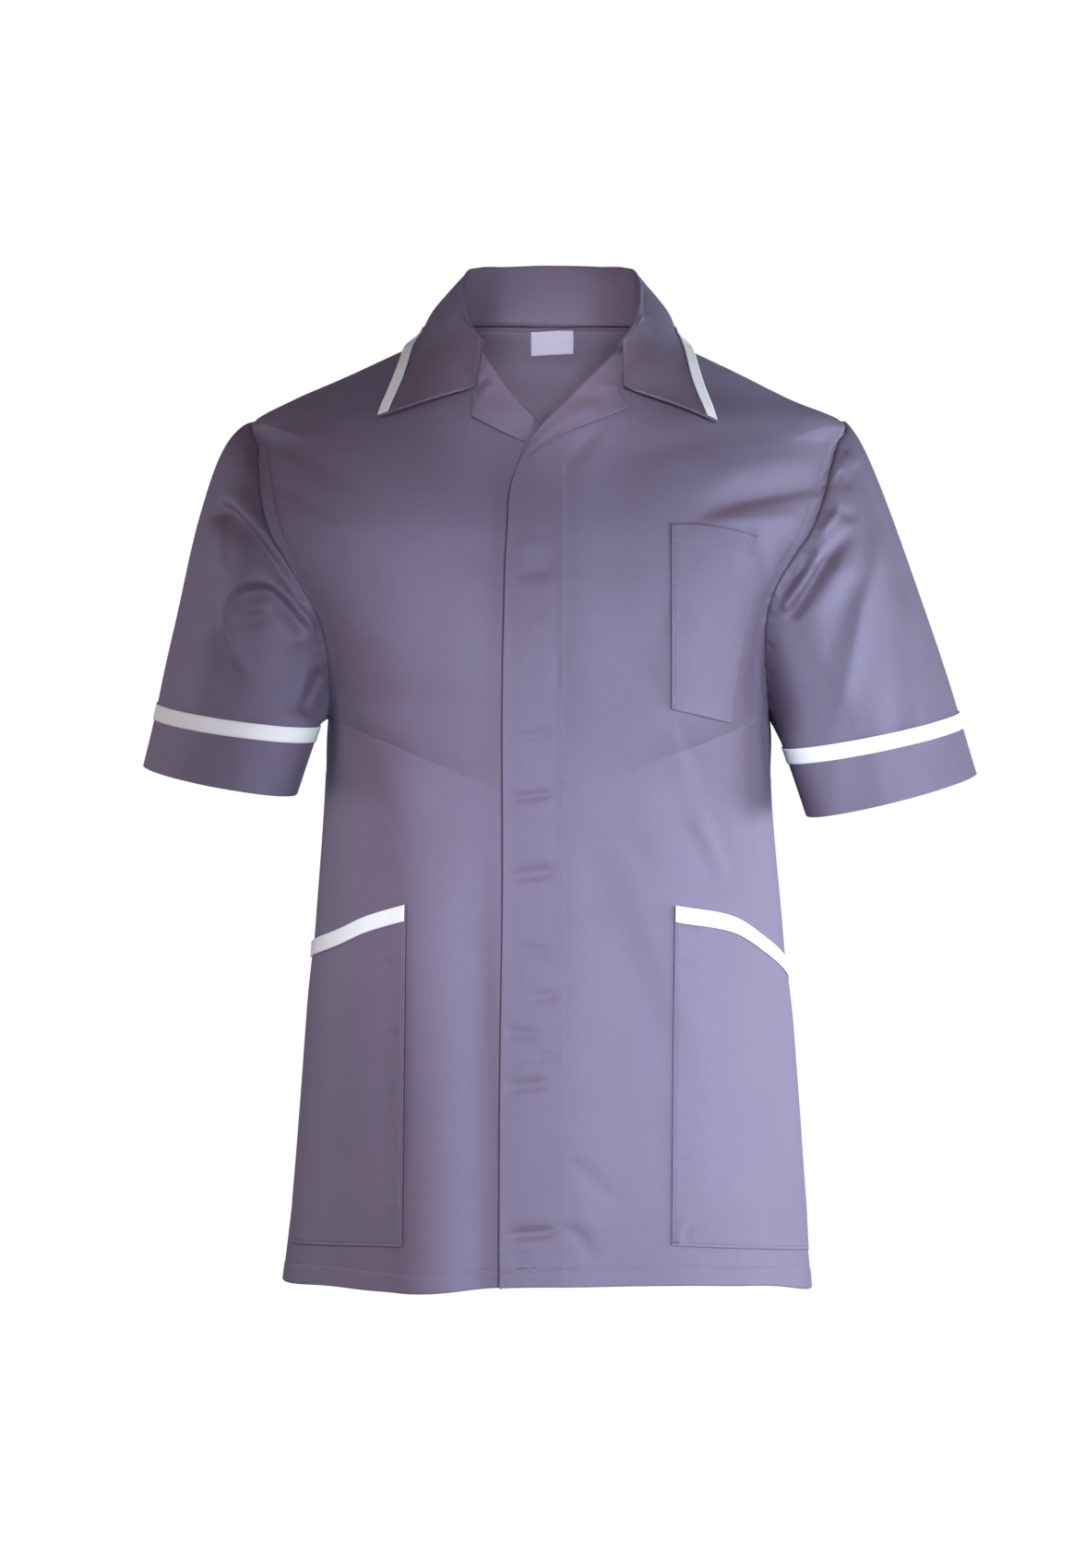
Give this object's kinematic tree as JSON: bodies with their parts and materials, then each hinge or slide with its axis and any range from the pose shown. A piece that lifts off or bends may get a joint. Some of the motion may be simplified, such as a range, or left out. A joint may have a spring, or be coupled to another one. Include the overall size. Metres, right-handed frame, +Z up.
{
  "type": "work tunic",
  "caption": "Short-sleeved work tunic with an open revere collar, hidden front fastening, patch pockets and white tape trim, in its worn, hollow form.",
  "frame": {"origin": "middle of the neck's base, level with the high points of the shoulders, where the wearer's neck passes through", "axes": "+Z up, the front faces -Y, the wearer's left is +X"},
  "size_m": [0.6549, 0.3061, 0.8037],
  "materials": {
    "body_cloth": "fine polyester-cotton twill, grey purple, slightly lustrous",
    "white_tape": "matt white woven cotton tape",
    "label_satin": "white woven satin, blank",
    "button": "moulded plastic, dyed to match the cloth"
  },
  "bodies": {
    "root": {"front_right": "body_cloth", "front_left": "body_cloth", "back": "body_cloth", "sleeve_right": "body_cloth", "sleeve_left": "body_cloth", "collar": "body_cloth", "lapel_right": "body_cloth", "lapel_left": "body_cloth", "chest_pocket": "body_cloth", "hip_pocket_right": "body_cloth", "hip_pocket_left": "body_cloth", "collar_trim": "white_tape", "sleeve_band_right": "white_tape", "sleeve_band_left": "white_tape", "hip_trim_right": "white_tape", "hip_trim_left": "white_tape", "neck_label": "label_satin", "button_1": "button", "button_2": "button", "button_3": "button", "button_4": "button", "button_5": "button"}
  },
  "joints": []
}
